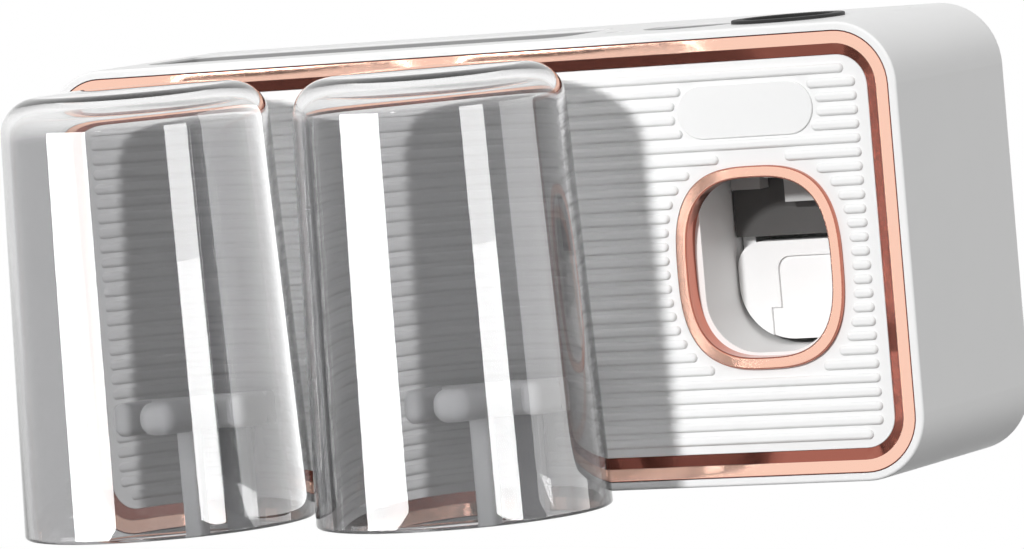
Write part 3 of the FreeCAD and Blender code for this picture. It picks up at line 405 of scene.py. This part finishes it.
def place_facing(thing, azimuth, elevation, distance, centre=VIEW_TARGET):
    way = studio_way(azimuth, elevation)
    thing.location = centre + way * distance
    thing.rotation_mode = "QUATERNION"
    thing.rotation_quaternion = way.to_track_quat("Z", "Y")


def strip_lamp(name, azimuth_low, azimuth_high, elevation_low, elevation_high, radiance, centre,
               receivers):
    """Softbox that only the clear cups mirror."""
    width = 2 * LAMP_DISTANCE * math.tan(math.radians(azimuth_high - azimuth_low) / 2)
    height = 2 * LAMP_DISTANCE * math.tan(math.radians(elevation_high - elevation_low) / 2)
    azimuth = (azimuth_low + azimuth_high) / 2
    elevation = (elevation_low + elevation_high) / 2
    thing = cup_lamp(name, width, height, radiance, receivers)
    place_facing(thing, azimuth, elevation, LAMP_DISTANCE, centre)


def cup_lamp(name, width, height, radiance, receivers):
    lamp = bpy.data.lights.new(name, "AREA")
    lamp.shape = "RECTANGLE"
    lamp.size = width
    lamp.size_y = height
    lamp.energy = radiance * math.pi * width * height
    thing = bpy.data.objects.new(name, lamp)
    thing.visible_camera = False
    thing.visible_transmission = False
    bpy.context.scene.collection.objects.link(thing)
    thing.light_linking.receiver_collection = receivers
    return thing


def gap_lamp(name, width, height, radiance, receivers):
    """Thin lit card upright between the cups, facing the left one."""
    thing = cup_lamp(name, width, height, radiance, receivers)
    place_facing(thing, 90, 0, 0.0, Vector(((CUPS["left"] + CUPS["right"]) / 2, CUP_Y + width / 4, 0)))


def soft_sun(name, azimuth, elevation, energy, spread_angle):
    """Even light from one side, which no gloss mirrors."""
    sun = bpy.data.lights.new(name, "SUN")
    sun.energy = energy
    sun.angle = math.radians(spread_angle)
    thing = bpy.data.objects.new(name, sun)
    place_facing(thing, azimuth, elevation, LAMP_DISTANCE)
    thing.visible_glossy = False
    bpy.context.scene.collection.objects.link(thing)


def studio():
    pale_floor()
    cups_only = bpy.data.collections.new("cups_only")
    for side in CUPS:
        cups_only.objects.link(bpy.data.objects["cup_" + side + "_clear"])
    centre = Vector(((CUPS["left"] + CUPS["right"]) / 2, CUP_Y, 0))
    strip_lamp("strip_left", -53, -15, STRIP_LOW, STRIP_HIGH, 20.0, centre, cups_only)
    strip_lamp("strip_right", 53, 73, STRIP_LOW, STRIP_STEP, 20.0, centre, cups_only)
    strip_lamp("strip_right_upper", 53, 73, STRIP_STEP, STRIP_HIGH, 15.0, centre, cups_only)
    strip_lamp("strip_side", 88, 140, STRIP_LOW, STRIP_HIGH, 4.5, centre, cups_only)
    left_only = bpy.data.collections.new("left_cup_only")
    left_only.objects.link(bpy.data.objects["cup_left_clear"])
    gap_lamp("gap_card", 2 * CUP_RIM_R, CUP_TOP_Z - CUP_RIM_Z, CARD_RADIANCE, left_only)
    soft_sun("key", -5, 19, 2.55, 5)
    soft_sun("side_fill", 96, 24, 0.86, 60)


def studio_world():
    """White to the eye, to gloss and through the cups; for soft light, brighter above than below."""
    world = bpy.data.worlds.new("studio")
    bpy.context.scene.world = world
    world.use_nodes = True
    tree = world.node_tree
    tree.nodes.clear()
    output = tree.nodes.new("ShaderNodeOutputWorld")
    mix = tree.nodes.new("ShaderNodeMixShader")
    soft = tree.nodes.new("ShaderNodeBackground")
    white = tree.nodes.new("ShaderNodeBackground")
    white.inputs["Color"].default_value = (1, 1, 1, 1)
    white.inputs["Strength"].default_value = 1.0
    rays = tree.nodes.new("ShaderNodeLightPath")
    seen = tree.nodes.new("ShaderNodeMath")
    seen.operation = "MAXIMUM"
    tree.links.new(rays.outputs["Is Camera Ray"], seen.inputs[0])
    tree.links.new(rays.outputs["Is Glossy Ray"], seen.inputs[1])
    through = tree.nodes.new("ShaderNodeMath")
    through.operation = "MAXIMUM"
    tree.links.new(seen.outputs[0], through.inputs[0])
    tree.links.new(rays.outputs["Is Transmission Ray"], through.inputs[1])
    place = tree.nodes.new("ShaderNodeTexCoord")
    split = tree.nodes.new("ShaderNodeSeparateXYZ")
    ramp = tree.nodes.new("ShaderNodeMapRange")
    ramp.inputs["From Min"].default_value = -1.0
    ramp.inputs["From Max"].default_value = 1.0
    ramp.inputs["To Min"].default_value = SOFT_BELOW
    ramp.inputs["To Max"].default_value = SOFT_ABOVE
    tree.links.new(place.outputs["Generated"], split.inputs[0])
    tree.links.new(split.outputs["Z"], ramp.inputs["Value"])
    tree.links.new(ramp.outputs["Result"], soft.inputs["Strength"])
    tree.links.new(through.outputs[0], mix.inputs["Fac"])
    tree.links.new(soft.outputs[0], mix.inputs[1])
    tree.links.new(white.outputs[0], mix.inputs[2])
    tree.links.new(mix.outputs[0], output.inputs["Surface"])


def photo_camera():
    right = Vector((math.cos(VIEW_YAW), math.sin(VIEW_YAW), 0))
    back = Vector((math.sin(VIEW_YAW) * math.cos(VIEW_PITCH), -math.cos(VIEW_YAW) * math.cos(VIEW_PITCH),
                   math.sin(VIEW_PITCH)))
    up = back.cross(right)
    across = right * math.cos(VIEW_ROLL) - up * math.sin(VIEW_ROLL)
    upward = right * math.sin(VIEW_ROLL) + up * math.cos(VIEW_ROLL)
    data = bpy.data.cameras.new("photo_camera")
    data.lens = VIEW_LENS
    data.sensor_width = VIEW_SENSOR
    data.sensor_fit = "HORIZONTAL"
    data.clip_start = VIEW_NEAR
    data.clip_end = VIEW_FAR
    camera = bpy.data.objects.new("photo_camera", data)
    turn = Matrix((across, upward, back)).transposed().to_4x4()
    camera.matrix_world = Matrix.Translation(VIEW_TARGET + back * VIEW_DISTANCE) @ turn
    bpy.context.scene.collection.objects.link(camera)
    bpy.context.scene.camera = camera


studio()
studio_world()
photo_camera()
bpy.context.scene.view_settings.view_transform = "Standard"

bpy.context.view_layer.update()
